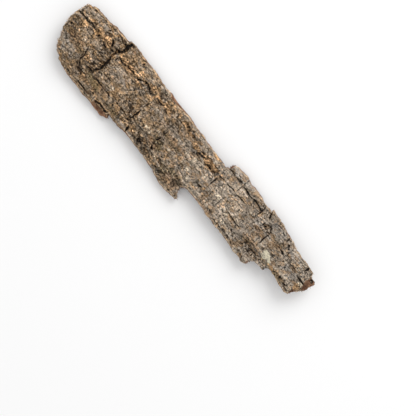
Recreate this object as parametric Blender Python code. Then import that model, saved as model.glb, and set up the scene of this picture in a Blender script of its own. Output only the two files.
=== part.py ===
"""Indian almond bark piece: one curved slab of bark, lying with its outer face up.

X runs along the grain from the broad end to the narrow end, Y across it and Z up.
The slab is a strip of a tree's shell, so it arches across the grain and is hollow below.
Its plan is a ragged outline. Its upper face has furrows, cracks, pits and places where the
outer bark broke away, and it rests on four small flat spots under its two long edges.
"""

import math
import random

import bmesh
import bpy
from mathutils import Vector, noise
from mathutils.geometry import delaunay_2d_cdt

MM = 0.001

# The slab, in millimetres. The outline below gives it its length of 200 and its width of 41
HALF_LENGTH = 100.0
HALF_WIDTH = 20.5
ARCH_RADIUS = 45.0
CREST_Y = 0.2
CREST_HEIGHT = 9.6
THICKNESS = 4.3
THICKNESS_CHANGE = 0.4
THINNEST = 1.3
NARROW_END_THINNING = 1.1
THINNING_START = 20.0
BROAD_END_RISE = 1.3
NARROW_END_RISE = 2.4
WARP_START = 45.0

# The relief of the two faces: its height, then its hills' length along the grain and width across
PLATES = (0.55, 15.0, 6.0)
SCALES = (0.50, 5.6, 2.5)
RIDGES = (0.55, 30.0, 5.0)
GRAIN = (0.26, 11.0, 2.3)
FLAKES = (0.60, 3.6, 2.2)
FLAKE_SINKING = 0.35
LONG_FIBRES = (0.45, 26.0, 3.4)
SHORT_FIBRES = (0.22, 12.0, 1.9)
SWELLING = (THICKNESS_CHANGE, 38.0, 16.0)

# The spacing of the surface's points, closer across the grain than along it
OUTER_SPACING = (2.15, 1.08)
INNER_SPACING = (3.8, 2.3)
EDGE_SPACING = 1.75
CRACK_SPACING = 1.8
FLOOR_GAP = 0.7
LIP_GAP = 0.42

# How cracks fade out at their ends, wander off their line and curl up beside it. LIP_HEIGHT is
# a share of the crack's depth
CRACK_FADE = 2.5
CRACK_WANDER = 0.28
LIP_HEIGHT = 0.24
LIP_WIDTH = 1.8
STEP_HALF_WIDTH = 0.3
PIT_SIDES = 6
PIT_STRETCH = 1.3

# Short shallow furrows scattered along the grain: how many, how long and how deep
FURROW_COUNT = 78
FURROW_LENGTH = (5.0, 15.0)
FURROW_DEPTH = (0.45, 0.85)
FURROW_HALF_WIDTH = 0.5
FURROW_DRIFT = 0.5
FURROW_GAP = 1.5

# The broken edge: how ragged it is, how far each level stands back from its widest line, and
# how far up the thickness the outer bark ends and the widest line runs
RAGGEDNESS = 0.32
TOP_SET_BACK = 0.62
LAYER_SET_BACK = 0.34
BOTTOM_SET_BACK = 0.55
LAYER_SHARE = 0.62
RIM_SHARE = 0.36
SHARE_CHANGE = 0.1

# The outline, clockwise from the broad end's lower corner
BROAD_END = [
    (-92.8, -13.2), (-95.1, -9.0), (-98.5, -2.4), (-99.7, 3.0), (-100.0, 9.0), (-99.0, 10.4),
]
FAR_EDGE = [
    (-99.3, 12.8), (-97.7, 15.8), (-96.2, 16.0), (-95.2, 17.2), (-93.2, 17.8), (-81.7, 18.1),
    (-79.4, 19.1), (-68.8, 18.7), (-67.0, 20.0), (-64.6, 20.2), (-47.5, 19.4), (-37.6, 18.2),
    (-30.4, 18.6), (-27.8, 17.8), (-15.4, 17.4), (-10.0, 16.5), (-1.4, 16.4), (6.5, 15.4),
    (17.3, 14.9), (18.8, 14.4), (20.6, 15.8), (20.5, 17.3), (21.1, 18.9), (23.4, 19.9),
    (31.2, 20.5), (35.4, 19.1), (38.3, 19.5), (45.1, 18.9), (50.6, 17.7), (52.8, 18.1),
    (53.9, 16.8), (53.8, 18.7), (54.8, 19.4), (57.0, 18.8), (63.5, 18.4), (65.8, 17.5),
    (74.7, 16.1), (77.5, 15.1), (84.1, 13.9), (90.9, 13.8), (94.7, 12.8), (95.2, 11.4),
]
NARROW_END = [
    (97.8, 10.9), (99.8, 10.2), (100.0, 8.3), (98.7, 2.9), (97.6, 1.6), (96.0, -0.7),
    (94.0, -5.5), (91.5, -6.3), (89.0, -6.3),
]
NEAR_EDGE = [
    (85.8, -5.8), (78.8, -4.2), (76.5, -4.3), (75.6, -5.0), (75.1, -7.5), (68.0, -8.0),
    (66.9, -9.2), (66.1, -12.2), (63.7, -13.8), (59.1, -12.8), (53.0, -12.7), (46.9, -11.8),
    (31.0, -11.3), (24.0, -10.4), (17.0, -10.2), (12.3, -10.6), (11.2, -11.8), (11.4, -13.8),
    (12.4, -15.9), (14.4, -17.5), (13.9, -18.9), (5.2, -19.8), (-0.1, -19.6), (-5.3, -18.0),
    (-11.3, -17.3), (-30.2, -15.7), (-37.6, -16.7), (-43.9, -16.4), (-45.7, -15.9),
    (-44.2, -17.7), (-44.8, -18.8), (-49.3, -20.5), (-60.5, -19.6), (-63.4, -20.1),
    (-69.3, -19.4), (-77.2, -19.2), (-83.3, -18.3), (-86.2, -17.3), (-90.9, -14.4),
]

# Cracks and furrows: how deep, half of how wide, and the way each one runs
CRACKS = [
    # Furrow along the grain, from the broad end to the middle
    (1.3, 0.6, [(-102.0, 9.3), (-96.0, 8.8), (-92.0, 8.9), (-88.0, 9.7), (-83.5, 8.8), (-80.6, 9.2)]),
    (1.0, 0.6, [(-80.2, 8.6), (-77.0, 8.0), (-74.0, 6.9)]),
    (1.1, 0.6, [(-76.5, 10.4), (-74.2, 12.1), (-72.2, 10.6), (-70.6, 8.5), (-68.3, 9.0)]),
    (1.1, 0.6, [(-65.0, 8.3), (-61.5, 8.7), (-58.0, 9.4), (-54.5, 9.5), (-51.0, 9.2)]),
    (1.4, 0.7, [(-50.6, 8.2), (-48.4, 9.4), (-46.0, 10.2), (-43.4, 10.8), (-40.0, 10.2)]),
    (1.0, 0.6, [(-42.0, 9.2), (-40.0, 8.6), (-38.0, 8.9), (-36.3, 9.9)]),
    (0.8, 0.5, [(-34.4, 10.4), (-32.0, 10.2), (-28.8, 10.0)]),
    (0.7, 0.5, [(-3.4, 7.4), (0.6, 7.6)]),
    (1.2, 0.6, [(2.4, 8.6), (5.0, 8.4), (8.0, 8.7), (11.0, 8.2), (14.5, 8.0), (18.4, 7.7)]),
    (0.7, 0.5, [(20.6, 8.6), (25.0, 8.9), (29.5, 9.1), (33.4, 8.9)]),
    (1.0, 0.5, [(34.6, 9.2), (37.2, 9.1), (41.2, 9.1)]),
    # The wide crack right across the broad half
    (2.3, 1.1, [(-66.4, 22.5), (-65.4, 16.5), (-66.4, 13.0), (-67.8, 10.8), (-68.2, 7.0)]),
    (2.0, 1.0, [(-68.2, 6.8), (-68.0, 4.5), (-67.3, 1.5), (-67.6, -1.0), (-66.7, -3.6), (-68.4, -6.2)]),
    (1.1, 0.6, [(-73.6, -8.3), (-70.6, -8.0), (-68.0, -7.0)]),
    # Smaller cracks across the grain
    (0.9, 0.6, [(-79.8, -0.8), (-79.2, -3.6), (-78.0, -6.0)]),
    (0.9, 0.6, [(-80.0, -7.4), (-78.6, -9.2), (-77.0, -11.3), (-73.8, -11.4)]),
    (1.0, 0.6, [(-76.8, -12.5), (-74.0, -12.2), (-72.3, -13.3), (-70.8, -14.2)]),
    (0.9, 0.6, [(-35.3, 5.6), (-35.2, 1.0), (-35.6, -3.0), (-35.2, -5.6), (-36.2, -8.2)]),
    (1.1, 0.5, [(-34.6, 13.2), (-33.9, 12.0), (-33.3, 10.8)]),
    (1.5, 0.6, [(-34.2, -11.6), (-33.2, -13.4), (-32.5, -15.2), (-31.8, -18.0)]),
    (1.1, 0.5, [(-25.4, -12.2), (-24.4, -14.2), (-23.8, -18.0)]),
    (1.0, 0.6, [(-24.2, -11.4), (-22.6, -12.7), (-20.8, -13.3)]),
    (0.9, 0.5, [(-17.2, 3.4), (-17.3, 0.5), (-17.0, -2.6), (-16.8, -5.2), (-16.9, -7.6)]),
    (1.0, 0.5, [(-16.8, -8.6), (-15.6, -11.2), (-13.6, -14.0)]),
    (0.8, 0.5, [(0.9, 7.8), (1.1, 5.6), (0.8, 3.8)]),
    (1.0, 0.5, [(18.4, 10.8), (18.4, 8.6)]),
    (1.5, 0.6, [(19.8, 8.0), (20.2, 5.0), (20.1, 3.0), (20.8, 1.0), (19.4, -0.6)]),
    (1.0, 0.5, [(50.0, 20.0), (50.1, 14.6), (49.9, 12.0), (49.6, 9.6)]),
    (0.8, 0.5, [(36.9, 11.4), (37.0, 9.3)]),
    (0.9, 0.6, [(51.6, 7.0), (50.4, 2.0), (49.6, -0.4)]),
    (1.0, 0.5, [(58.6, 9.2), (60.2, 8.6), (62.2, 8.4), (62.5, 5.0), (62.5, 1.4), (60.2, 0.4)]),
    (1.1, 0.5, [(71.9, 19.0), (71.6, 14.0), (71.8, 10.4)]),
    (1.7, 0.6, [(90.7, 16.5), (90.6, 12.0), (90.8, 9.6)]),
    # Cracks along the grain on the two edges and the narrow half
    (0.9, 0.6, [(-64.6, -8.3), (-60.0, -8.9), (-56.0, -8.8), (-52.0, -9.3)]),
    (1.3, 0.6, [(18.6, 15.4), (24.0, 15.9), (27.0, 15.2), (31.4, 15.8), (33.2, 14.8)]),
    (1.2, 0.5, [(33.6, 14.6), (37.0, 14.3), (40.2, 14.1), (44.0, 14.8), (47.8, 13.9), (49.7, 13.8)]),
    (1.5, 0.6, [(53.9, 20.0), (54.4, 16.6), (55.8, 14.2), (58.2, 13.4), (60.4, 10.4)]),
    (1.1, 0.6, [(73.6, 7.6), (76.2, 7.1), (78.2, 5.8), (82.0, 5.6)]),
    (1.2, 0.6, [(84.0, 5.3), (89.6, 5.9), (92.0, 5.0), (96.6, 4.8)]),
    (0.8, 0.5, [(81.6, -2.6), (84.6, -3.2), (88.6, -3.6), (91.4, -3.2)]),
    (0.8, 0.5, [(28.0, -7.6), (31.2, -8.2), (34.0, -8.8)]),
    (0.7, 0.5, [(14.6, -2.6), (16.6, -3.5), (20.0, -3.3)]),
]

# Places where the outer bark broke away: how much lower they lie, and their corners
STEPS = [
    # Inner bark laid bare at the narrow end's far corner
    (2.0, [(95.0, 15.0), (94.8, 9.5), (95.4, 6.0), (96.0, 3.5), (97.4, -1.0), (104.0, -1.0),
           (104.0, 15.0)]),
    # Inner bark along the near edge and the far edge of the broad half
    (1.7, [(-57.0, -16.9), (-54.0, -16.4), (-50.0, -16.8), (-46.5, -15.6), (-41.0, -16.0),
           (-41.0, -23.0), (-57.0, -23.0)]),
    (1.2, [(-32.0, 17.6), (-28.4, 16.6), (-24.0, 15.9), (-20.5, 15.4), (-16.5, 16.8),
           (-16.5, 20.0), (-32.0, 20.0)]),
    # A flap beside the narrow half's near edge, and the worn rim at the narrow end
    (0.9, [(66.6, -2.0), (69.0, -2.5), (72.4, -3.0), (78.0, -4.2), (78.0, -10.0), (67.0, -10.0)]),
    (1.1, [(92.4, -8.0), (93.2, -4.4), (94.4, -1.8), (96.4, 0.8), (99.0, -1.0), (96.0, -9.0)]),
    # The strip beyond the long crack of the narrow half
    (0.45, [(18.0, 15.6), (31.0, 15.7), (40.0, 14.3), (50.0, 13.8), (50.0, 23.0), (18.0, 23.0)]),
]

# Pits: where, how far across and how deep
PITS = [
    (-96.3, 1.1, 1.7, 1.5), (-89.5, 2.0, 1.4, 0.8), (-79.6, 14.8, 1.7, 1.2), (-92.6, 16.3, 1.8, 1.0),
    (-59.6, 14.2, 1.4, 0.8), (-47.8, -10.9, 1.7, 1.0), (-41.2, -4.6, 2.4, 0.9), (-43.0, -2.2, 2.0, 0.8),
    (-45.8, -8.3, 1.8, 0.8), (-38.6, -7.0, 2.0, 0.9), (-60.0, -15.2, 1.6, 0.9), (57.4, 9.5, 2.2, 1.5),
    (75.9, 12.0, 1.6, 0.8), (61.2, -6.4, 1.7, 0.9), (64.2, -7.0, 1.7, 0.9), (97.2, 9.2, 2.4, 1.2),
    (-72.6, 3.6, 1.8, 0.8), (-75.0, 14.0, 1.8, 0.9), (-70.4, 16.6, 2.0, 1.0), (-53.6, 16.6, 1.8, 0.9),
]

# Rough, flaky ground: its centre, half its length and half its width
ROUGH_PATCHES = [
    (-73.0, 5.0, 9.0, 22.0), (-41.0, -5.0, 7.0, 6.0), (10.0, 8.5, 11.0, 3.0), (-57.0, 10.5, 10.0, 3.0),
    (-38.0, 11.0, 7.0, 4.0), (62.0, -5.0, 8.0, 5.0), (-16.0, -7.0, 5.0, 8.0),
]

# The four resting spots: short flat strips from the broken edge in to these points
RESTING_SPOTS = [(-62.0, -17.8), (5.0, -17.9), (-62.0, 17.9), (29.0, 18.3)]
SPOT_HALF_LENGTH = 4.0
CLEARANCE = 0.4

BARK_COLOUR = (0.235, 0.175, 0.125, 1.0)


def smooth(value):
    """Eases a number from 0 to 1, and holds it there outside that range."""
    t = min(1.0, max(0.0, value))
    return t * t * (3.0 - 2.0 * t)


def wave(x, y, relief, seed):
    """Smooth random ground of a relief's height, with hills of its length and width."""
    height, length, width = relief
    return height * noise.noise(Vector((x / length, y / width, 7.3 * seed)))


def cells(x, y, relief, seed):
    """Flat patches of a relief's length and width, each at its own level."""
    height, length, width = relief
    patch = noise.voronoi(Vector((x / length, y / width, float(seed))))[1][0]
    return height * noise.noise(patch * 3.7)


def nearest_on_path(x, y, path):
    """Gives the distance to a path, the distance along it from its nearer end, and the side."""
    best = None
    travelled = 0.0
    for (ax, ay), (bx, by) in zip(path, path[1:]):
        dx, dy = bx - ax, by - ay
        length = math.hypot(dx, dy)
        share = min(1.0, max(0.0, ((x - ax) * dx + (y - ay) * dy) / length ** 2))
        away = math.hypot(x - ax - share * dx, y - ay - share * dy)
        if best is None or away < best[0]:
            side = dx * (y - ay) - dy * (x - ax)
            best = (away, travelled + share * length, side)
        travelled += length
    return best[0], min(best[1], travelled - best[1]), best[2]


def is_inside(x, y, corners):
    """Tells whether a point lies inside a closed outline."""
    inside = False
    for (ax, ay), (bx, by) in zip(corners, corners[1:] + corners[:1]):
        if (ay > y) != (by > y) and x < ax + (y - ay) * (bx - ax) / (by - ay):
            inside = not inside
    return inside


def walk(path, spacing):
    """Gives points along a path at about this spacing, each with the path's sideways direction."""
    for (ax, ay), (bx, by) in zip(path, path[1:]):
        length = math.hypot(bx - ax, by - ay)
        count = max(1, round(length / spacing))
        for i in range(count):
            share = i / count
            yield ax + share * (bx - ax), ay + share * (by - ay), (ay - by) / length, (bx - ax) / length


def wandering_path(path, rng):
    """Breaks a path into short stretches and moves their ends a little to either side."""
    moved = []
    for x, y, side_x, side_y in walk(path, CRACK_SPACING):
        shift = rng.uniform(-CRACK_WANDER, CRACK_WANDER)
        moved.append((x + shift * side_x, y + shift * side_y))
    return moved + [path[-1]]


def short_furrows(rng):
    """Scatters short furrows along the grain, clear of each other's lines."""
    furrows = []
    while len(furrows) < FURROW_COUNT:
        length = rng.uniform(*FURROW_LENGTH)
        x = rng.uniform(-HALF_LENGTH, HALF_LENGTH - length)
        y = rng.uniform(-HALF_WIDTH, HALF_WIDTH)
        starts = [path[0] for _, _, path in furrows]
        if any(abs(y - v) < FURROW_GAP and abs(x - u) < FURROW_LENGTH[1] for u, v in starts):
            continue
        drift = rng.uniform(-FURROW_DRIFT, FURROW_DRIFT)
        furrows.append((rng.uniform(*FURROW_DEPTH), FURROW_HALF_WIDTH, [(x, y), (x + length, y + drift)]))
    return furrows


def all_cracks():
    """Gives the named cracks and the short furrows, each on its own wandering path."""
    rng = random.Random(5)
    return [(depth, width, wandering_path(path, rng)) for depth, width, path in CRACKS + short_furrows(rng)]


def crack_depth(x, y, cracks):
    """How deep the cracks and pits cut at a point, less the lip that curls up beside them."""
    depth = 0.0
    lip = 0.0
    for deepest, half_width, path in cracks:
        reach = half_width + LIP_WIDTH
        low_x, high_x = min(p[0] for p in path), max(p[0] for p in path)
        if x < low_x - reach or x > high_x + reach:
            continue
        away, along, side = nearest_on_path(x, y, path)
        if away > reach:
            continue
        fade = smooth(along / CRACK_FADE)
        depth = max(depth, deepest * fade * max(0.0, 1.0 - away / half_width))
        if side > 0.0 and away >= half_width:
            lip = max(lip, LIP_HEIGHT * deepest * fade * (1.0 - (away - half_width) / LIP_WIDTH))
    for px, py, across, deepest in PITS:
        away = math.hypot((x - px) / PIT_STRETCH, y - py) / (0.5 * across)
        depth = max(depth, deepest * max(0.0, 1.0 - away))
    return depth - (lip if depth == 0.0 else 0.0)


def step_drop(x, y):
    """How much lower a point lies where the outer bark broke away."""
    drop = 0.0
    for height, corners in STEPS:
        away = nearest_on_path(x, y, corners + corners[:1])[0]
        signed = away if is_inside(x, y, corners) else -away
        drop = max(drop, height * smooth(0.5 + 0.5 * signed / STEP_HALF_WIDTH))
    return drop


def roughness(x, y):
    """How flaky the ground is, from 0 on sound bark to 1 in the middle of a rough patch."""
    return max(
        smooth(1.4 - math.hypot((x - px) / half_length, (y - py) / half_width))
        for px, py, half_length, half_width in ROUGH_PATCHES
    )


def arch_drop(y, radius):
    """How far an arch of this radius has fallen from its crest line."""
    return radius - math.sqrt(radius ** 2 - (y - CREST_Y) ** 2)


def warp(x):
    """How far the slab's ends have curled up in drying."""
    rise = BROAD_END_RISE if x < 0.0 else NARROW_END_RISE
    return rise * (max(0.0, abs(x) - WARP_START) / (HALF_LENGTH - WARP_START)) ** 2


def thickness(x, y):
    """The bark's thickness before its relief."""
    thinning = NARROW_END_THINNING * smooth((x - THINNING_START) / (HALF_LENGTH - THINNING_START))
    return THICKNESS - thinning + wave(x, y, SWELLING, 5)


def hollow_height(x, y):
    """The height of the hollow face: a tighter arch, long fibres, and the flat resting spots."""
    arch = CREST_HEIGHT + warp(x) - thickness(x, y) - arch_drop(y, ARCH_RADIUS - THICKNESS)
    fibres = wave(x, y, LONG_FIBRES, 2) + wave(x, y, SHORT_FIBRES, 9)
    for spot_x, spot_y in RESTING_SPOTS:
        if abs(x - spot_x) <= SPOT_HALF_LENGTH and y / spot_y >= 1.0:
            return 0.0
    return max(CLEARANCE, arch + fibres)


def outer_height(x, y, cracks):
    """The height of the outer face: the arch with its plates, ridges, cracks and steps."""
    arch = CREST_HEIGHT + warp(x) - arch_drop(y, ARCH_RADIUS)
    plates = cells(x, y, PLATES, 1) + cells(x, y, SCALES, 4)
    ridges = 0.5 * RIDGES[0] - 2.0 * abs(wave(x, y, RIDGES, 1)) + wave(x, y, GRAIN, 3)
    rough = roughness(x, y) * (wave(x, y, FLAKES, 4) - FLAKE_SINKING * FLAKES[0])
    height = arch + plates + ridges + rough - step_drop(x, y) - crack_depth(x, y, cracks)
    return max(height, hollow_height(x, y) + THINNEST)


def ragged_outline(rng):
    """The whole outline, anticlockwise, with small random bites between its points."""
    corners = BROAD_END + FAR_EDGE + NARROW_END + NEAR_EDGE
    corners.reverse()
    outline = []
    for x, y, side_x, side_y in walk(corners + corners[:1], EDGE_SPACING):
        shift = 0.0 if (x, y) in corners else RAGGEDNESS * rng.uniform(-0.4, 1.0)
        outline.append((x + shift * side_x, y + shift * side_y))
    return outline


def set_back(outline, distances):
    """Moves each point of an anticlockwise outline inwards by its own distance."""
    moved = []
    for i, (x, y) in enumerate(outline):
        before = Vector(outline[i - 1])
        after = Vector(outline[(i + 1) % len(outline)])
        along = (after - before).normalized()
        moved.append((x - along.y * distances[i], y + along.x * distances[i]))
    return moved


class PointField:
    """Points on the plan that keep a gap to each other and to the outline."""

    def __init__(self, outline):
        self.outline = outline
        self.points = list(outline)
        self.cells = {}
        for index, point in enumerate(self.points):
            self.cells.setdefault(self.cell(*point), []).append(index)

    @staticmethod
    def cell(x, y):
        return math.floor(x / 3.0), math.floor(y / 3.0)

    def add(self, x, y, gap_x, gap_y):
        """Adds a point, unless it is outside or nearer to another than the gaps."""
        column, row = self.cell(x, y)
        for i in (column - 1, column, column + 1):
            for j in (row - 1, row, row + 1):
                for index in self.cells.get((i, j), ()):
                    other = self.points[index]
                    if ((x - other[0]) / gap_x) ** 2 + ((y - other[1]) / gap_y) ** 2 < 1.0:
                        return
        if is_inside(x, y, self.outline):
            self.cells.setdefault((column, row), []).append(len(self.points))
            self.points.append((x, y))

    def add_grid(self, spacing, rng):
        """Fills the outline with staggered rows of points, each a little out of line."""
        step_x, step_y = spacing
        for row in range(math.ceil(2.0 * HALF_WIDTH / step_y)):
            for column in range(math.ceil(2.0 * HALF_LENGTH / step_x)):
                x = -HALF_LENGTH + step_x * (column + 0.5 * (row % 2) + rng.uniform(-0.18, 0.18))
                y = -HALF_WIDTH + step_y * (row + rng.uniform(-0.15, 0.15))
                self.add(x, y, 0.62 * step_x, 0.72 * step_y)

    def triangles(self):
        """Triangulates the outline with its points; each triangle is three point indices."""
        ring = list(range(len(self.outline)))
        return delaunay_2d_cdt([Vector(p) for p in self.points], [], [ring], 1, 1e-5)[2]


def add_crack_points(field, cracks):
    """Lays points along each crack's floor and two lips."""
    for _, _, path in cracks:
        for x, y, _, _ in walk(path, CRACK_SPACING):
            field.add(x, y, FLOOR_GAP, FLOOR_GAP)
    for _, half_width, path in cracks:
        for x, y, side_x, side_y in walk(path, CRACK_SPACING):
            field.add(x + half_width * side_x, y + half_width * side_y, LIP_GAP, LIP_GAP)
            field.add(x - half_width * side_x, y - half_width * side_y, LIP_GAP, LIP_GAP)


def add_step_and_pit_points(field):
    """Lays points along the upper and lower edge of each step, and on each pit's floor and mouth."""
    for _, corners in STEPS:
        for x, y, side_x, side_y in walk(corners + corners[:1], CRACK_SPACING):
            for shift in (-STEP_HALF_WIDTH, STEP_HALF_WIDTH):
                field.add(x + shift * side_x, y + shift * side_y, LIP_GAP, LIP_GAP)
    for px, py, across, _ in PITS:
        field.add(px, py, LIP_GAP, LIP_GAP)
        for i in range(PIT_SIDES):
            angle = math.tau * i / PIT_SIDES
            x = px + 0.5 * PIT_STRETCH * across * math.cos(angle)
            field.add(x, py + 0.5 * across * math.sin(angle), LIP_GAP, LIP_GAP)


def add_spot_points(field):
    """Lays points along the inner line of each resting spot."""
    for spot_x, spot_y in RESTING_SPOTS:
        for share in (-1.0, -0.5, 0.0, 0.5, 1.0):
            field.add(spot_x + share * SPOT_HALF_LENGTH, spot_y, LIP_GAP, LIP_GAP)


def make_slab():
    """Makes the slab: an outer face, a hollow face, and the broken edge between them."""
    rng = random.Random(17)
    rim = ragged_outline(rng)
    count = len(rim)
    top_ring = set_back(rim, [TOP_SET_BACK * rng.uniform(0.6, 1.2) for _ in rim])
    layer_ring = set_back(rim, [LAYER_SET_BACK * rng.uniform(0.2, 1.2) for _ in rim])
    bottom_ring = set_back(rim, [BOTTOM_SET_BACK * rng.uniform(0.6, 1.2) for _ in rim])

    cracks = all_cracks()
    outer = PointField(top_ring)
    add_crack_points(outer, cracks)
    add_step_and_pit_points(outer)
    outer.add_grid(OUTER_SPACING, rng)

    hollow = PointField(bottom_ring)
    add_spot_points(hollow)
    hollow.add_grid(INNER_SPACING, rng)

    mesh = bmesh.new()
    outer_verts = [
        mesh.verts.new((x * MM, y * MM, outer_height(x, y, cracks) * MM)) for x, y in outer.points
    ]
    hollow_verts = [
        mesh.verts.new((x * MM, y * MM, hollow_height(x, y) * MM)) for x, y in hollow.points
    ]
    for face in outer.triangles():
        mesh.faces.new([outer_verts[i] for i in face])
    for face in hollow.triangles():
        mesh.faces.new([hollow_verts[i] for i in reversed(face)])

    # Two more rings between the faces: where the outer bark ends, and the widest line below it
    rings = [outer_verts[:count], [], [], hollow_verts[:count]]
    for level, ring, share in ((1, layer_ring, LAYER_SHARE), (2, rim, RIM_SHARE)):
        for i, (x, y) in enumerate(ring):
            top = outer_verts[i].co.z
            bottom = hollow_verts[i].co.z
            height = bottom + (share + rng.uniform(-SHARE_CHANGE, SHARE_CHANGE)) * (top - bottom)
            rings[level].append(mesh.verts.new((x * MM, y * MM, height)))
    for upper, lower in zip(rings, rings[1:]):
        for i in range(count):
            j = (i + 1) % count
            mesh.faces.new((upper[i], lower[i], lower[j], upper[j]))
    bmesh.ops.triangulate(mesh, faces=[f for f in mesh.faces if len(f.verts) > 3])
    data = bpy.data.meshes.new("bark_piece")
    mesh.to_mesh(data)
    mesh.free()
    return data


def bark_material():
    """Dull grey-brown bark."""
    material = bpy.data.materials.new("bark")
    material.use_nodes = True
    shader = material.node_tree.nodes["Principled BSDF"]
    shader.inputs["Base Color"].default_value = BARK_COLOUR
    shader.inputs["Roughness"].default_value = 0.9
    shader.inputs["Metallic"].default_value = 0.0
    return material


for old in list(bpy.data.objects):
    bpy.data.objects.remove(old, do_unlink=True)

slab = bpy.data.objects.new("bark_piece", make_slab())
slab.data.materials.append(bark_material())
bpy.context.scene.collection.objects.link(slab)
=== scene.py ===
import math
import bpy
import numpy as np
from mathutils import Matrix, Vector, noise
from mathutils.kdtree import KDTree


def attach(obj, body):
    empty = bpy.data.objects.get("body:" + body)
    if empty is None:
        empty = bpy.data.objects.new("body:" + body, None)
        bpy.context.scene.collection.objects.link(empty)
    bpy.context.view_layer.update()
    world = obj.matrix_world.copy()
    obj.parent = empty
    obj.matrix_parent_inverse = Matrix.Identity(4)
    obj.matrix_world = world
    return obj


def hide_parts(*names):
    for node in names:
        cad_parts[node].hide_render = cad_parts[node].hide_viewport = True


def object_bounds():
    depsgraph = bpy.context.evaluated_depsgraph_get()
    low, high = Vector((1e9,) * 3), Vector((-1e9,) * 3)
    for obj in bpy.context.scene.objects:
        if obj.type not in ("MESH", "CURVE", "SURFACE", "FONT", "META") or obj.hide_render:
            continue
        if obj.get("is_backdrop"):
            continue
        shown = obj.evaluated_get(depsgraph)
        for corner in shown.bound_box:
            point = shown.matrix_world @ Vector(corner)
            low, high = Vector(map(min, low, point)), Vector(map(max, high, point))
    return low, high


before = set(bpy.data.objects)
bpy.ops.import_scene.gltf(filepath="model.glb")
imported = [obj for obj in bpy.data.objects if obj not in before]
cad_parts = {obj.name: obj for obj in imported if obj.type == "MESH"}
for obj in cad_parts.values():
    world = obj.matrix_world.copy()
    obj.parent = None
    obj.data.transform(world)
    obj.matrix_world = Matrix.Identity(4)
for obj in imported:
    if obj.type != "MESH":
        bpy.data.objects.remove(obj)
cad_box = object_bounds()

# The slab: one piece of a trunk's bark with its outer face up, broken off whole. Hard grey cork
# grew together with reddish fibrous inner bark, so it is one mesh, on the form of the CAD's solid.
# That mesh is welded and split finer, and then gets the relief that is too fine for the solid.
MM = 0.001
box_low, box_high = (np.array(corner) / MM for corner in cad_box)

node_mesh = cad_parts["bark_piece"].data
node_mesh.calc_loop_triangles()
corners = np.array([v.co for v in node_mesh.vertices]) / MM
triangles = np.array([t.vertices for t in node_mesh.loop_triangles])
points, welded = np.unique(np.round(corners, 4), axis=0, return_inverse=True)
faces = welded.reshape(-1)[triangles]


def edges_of(faces):
    """Every edge once, and which of them bounds each side of each face."""
    pairs = np.sort(faces[:, [[0, 1], [1, 2], [2, 0]]].reshape(-1, 2), axis=1)
    edges, number = np.unique(pairs, axis=0, return_inverse=True)
    return edges, number.reshape(-1, 3)


def split_longer(points, faces, longest):
    """Halves every edge that is longer than it may be there. Values beside x, y and z go along."""
    edges, sides = edges_of(faces)
    ends = points[edges]
    middles = ends.mean(axis=1)
    lengths = np.linalg.norm((ends[:, 0] - ends[:, 1])[:, :3], axis=1)
    cut = lengths > longest(middles)
    added = np.full(len(edges), -1)
    added[cut] = len(points) + np.arange(cut.sum())
    halves = added[sides]
    count = (halves >= 0).sum(axis=1)
    parts = [faces[count == 0]]
    for turn in range(3):
        a, b, c = np.roll(faces, -turn, axis=1).T
        ab, bc, ca = np.roll(halves, -turn, axis=1).T
        one = (count == 1) & (ab >= 0)
        parts += [np.stack(t, axis=1)[one] for t in ((a, ab, c), (ab, b, c))]
        two = (count == 2) & (ca < 0)
        parts += [np.stack(t, axis=1)[two] for t in ((ab, b, bc), (a, ab, bc), (a, bc, c))]
    a, b, c = faces.T
    ab, bc, ca = halves.T
    every = ((a, ab, ca), (ab, b, bc), (ca, bc, c), (ab, bc, ca))
    parts += [np.stack(t, axis=1)[count == 3] for t in every]
    return np.concatenate([points, middles[cut]]), np.concatenate(parts)


def settled(values, edges, rounds):
    """Evens out values over the mesh: each point takes the mean of its neighbours', in rounds."""
    a, b = edges.T
    size = len(values)
    number = np.bincount(a, minlength=size) + np.bincount(b, minlength=size)
    values = values.reshape(size, -1)
    for _ in range(rounds):
        sums = [
            np.bincount(a, column[b], size) + np.bincount(b, column[a], size) for column in values.T
        ]
        values = np.stack(sums, axis=1) / number[:, None]
    return values if values.shape[1] > 1 else values[:, 0]


def normals_of(points, faces):
    """The way out at each point, from the faces around it."""
    a, b, c = points[faces[:, 0]], points[faces[:, 1]], points[faces[:, 2]]
    across = np.cross(b - a, c - a)
    sums = [
        sum(np.bincount(faces[:, k], across[:, axis], len(points)) for k in range(3))
        for axis in range(3)
    ]
    ways = np.stack(sums, axis=1)
    return ways / np.maximum(np.linalg.norm(ways, axis=1), 1e-9)[:, None]


def eased(values, low, high):
    """0 at low and 1 at high, easing from one to the other."""
    t = np.clip((values - low) / (high - low), 0.0, 1.0)
    return t * t * (3.0 - 2.0 * t)


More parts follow.
